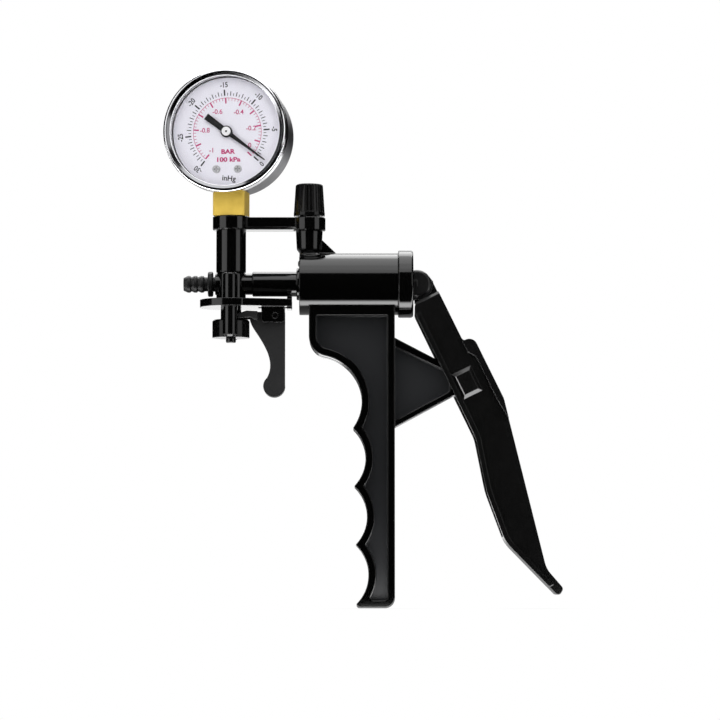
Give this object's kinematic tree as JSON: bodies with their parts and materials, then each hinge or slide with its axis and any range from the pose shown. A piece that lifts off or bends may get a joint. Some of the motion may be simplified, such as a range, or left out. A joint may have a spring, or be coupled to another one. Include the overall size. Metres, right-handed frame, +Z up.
{
  "type": "hand vacuum pump",
  "caption": "Hand-held vacuum pump with pistol grip, squeeze lever, dial vacuum gauge, barbed hose tail, release trigger and fluted bleed knob.",
  "frame": {"origin": "middle ridge of the hose tail, on the pump's axis", "axes": "+X along the pump's axis from the hose tail to the lever, +Z up, the gauge faces -Y"},
  "size_m": [0.1388, 0.029, 0.1875],
  "materials": {
    "black_plastic": "high gloss",
    "satin_black_plastic": "satin",
    "hose_tail_plastic": "matte",
    "brass": "satin",
    "case_steel": "dark satin",
    "bezel_steel": "polished",
    "glass": "clear",
    "dial_white": "printed white",
    "needle_black": "satin",
    "cap_white": "satin",
    "steel": "bright",
    "spring_steel": "bright",
    "rubber": "matte"
  },
  "bodies": {
    "frame": {"pump_body": "black_plastic", "rear_cap": "black_plastic", "rod_bush": "satin_black_plastic", "inlet_tube": "black_plastic", "intake_valve": "rubber", "exhaust_valve": "rubber", "manifold": "black_plastic", "hose_tail": "hose_tail_plastic", "hose_tail_seal": "rubber", "gauge_riser": "black_plastic", "brace_bar": "black_plastic", "base_plate": "black_plastic", "trigger_pin": "black_plastic", "lever_pin": "black_plastic", "gauge_socket": "brass", "gauge_case": "case_steel", "gauge_bezel": "bezel_steel", "gauge_window": "glass", "gauge_gasket": "rubber", "dial_plate": "dial_white", "dial_screws": "steel", "bourdon_tube": "brass", "movement_plates": "brass", "hairspring": "spring_steel", "spring_clip": "satin_black_plastic", "valve_spring": "spring_steel", "return_spring": "spring_steel"},
    "piston_group": {"piston": "satin_black_plastic", "piston_seal": "rubber", "piston_screw": "steel", "piston_rod": "black_plastic", "rod_pin": "steel"},
    "lever_group": {"lever": "black_plastic"},
    "trigger_group": {"trigger": "satin_black_plastic"},
    "valve_group": {"valve_cap": "black_plastic", "valve_seal": "rubber", "seal_retainer": "black_plastic"},
    "pad_group": {"bleed_pad": "rubber"},
    "knob_group": {"bleed_knob": "black_plastic"},
    "sector_group": {"sector_gear": "brass"},
    "link_group": {"link": "brass"},
    "needle_group": {"pinion_spindle": "steel", "needle": "needle_black", "needle_cap": "cap_white"}
  },
  "joints": [
    {"name": "lever_squeeze", "type": "hinge", "parent": "frame", "child": "lever_group", "pos_m": [0.0948, 0, -0.035], "axis": [0, 1, 0], "range_deg": [0, 28]},
    {"name": "piston_stroke", "type": "slide", "parent": "frame", "child": "piston_group", "axis": [1, 0, 0], "range_m": [0, 0.0187], "deforming": ["return_spring"]},
    {"name": "trigger_pull", "type": "hinge", "parent": "frame", "child": "trigger_group", "pos_m": [0.028, 0, -0.0114], "axis": [0, -1, 0], "range_deg": [0, 10]},
    {"name": "valve_cap_slide", "type": "slide", "parent": "frame", "child": "valve_group", "axis": [0, 0, -1], "range_m": [0, 0.0022], "deforming": ["valve_spring"]},
    {"name": "bleed_rise", "type": "slide", "parent": "frame", "child": "pad_group", "axis": [0, 0, 1], "range_m": [0, 0.001]},
    {"name": "bleed_turn", "type": "hinge", "parent": "pad_group", "child": "knob_group", "pos_m": [0.0398, 0, 0.03], "axis": [0, 0, 1], "range_deg": [0, 360]},
    {"name": "sector_turn", "type": "hinge", "parent": "frame", "child": "sector_group", "pos_m": [0.02426, -0.00167, 0.04824], "axis": [0.1392, 0.9903, 0], "range_deg": [0, 35.8]},
    {"name": "link_swing", "type": "hinge", "parent": "sector_group", "child": "link_group", "pos_m": [0.02803, -0.0022, 0.04948], "axis": [0.1392, 0.9903, 0], "range_deg": [-35.83, 0]},
    {"name": "needle_spin", "type": "hinge", "parent": "frame", "child": "needle_group", "pos_m": [0.0124, 0, 0.0526], "axis": [-0.1392, -0.9903, 0], "range_deg": [0, 268.6]}
  ],
  "couplings": [
    {"joint": "piston_stroke", "follows": "lever_squeeze", "m_per_rad": 0.038},
    {"joint": "valve_cap_slide", "follows": "trigger_pull", "m_per_rad": 0.0125},
    {"joint": "bleed_turn", "follows": "bleed_rise", "rad_per_m": 6283.2},
    {"joint": "link_swing", "follows": "sector_turn", "ratio": -1},
    {"joint": "needle_spin", "follows": "sector_turn", "ratio": 7.5}
  ]
}
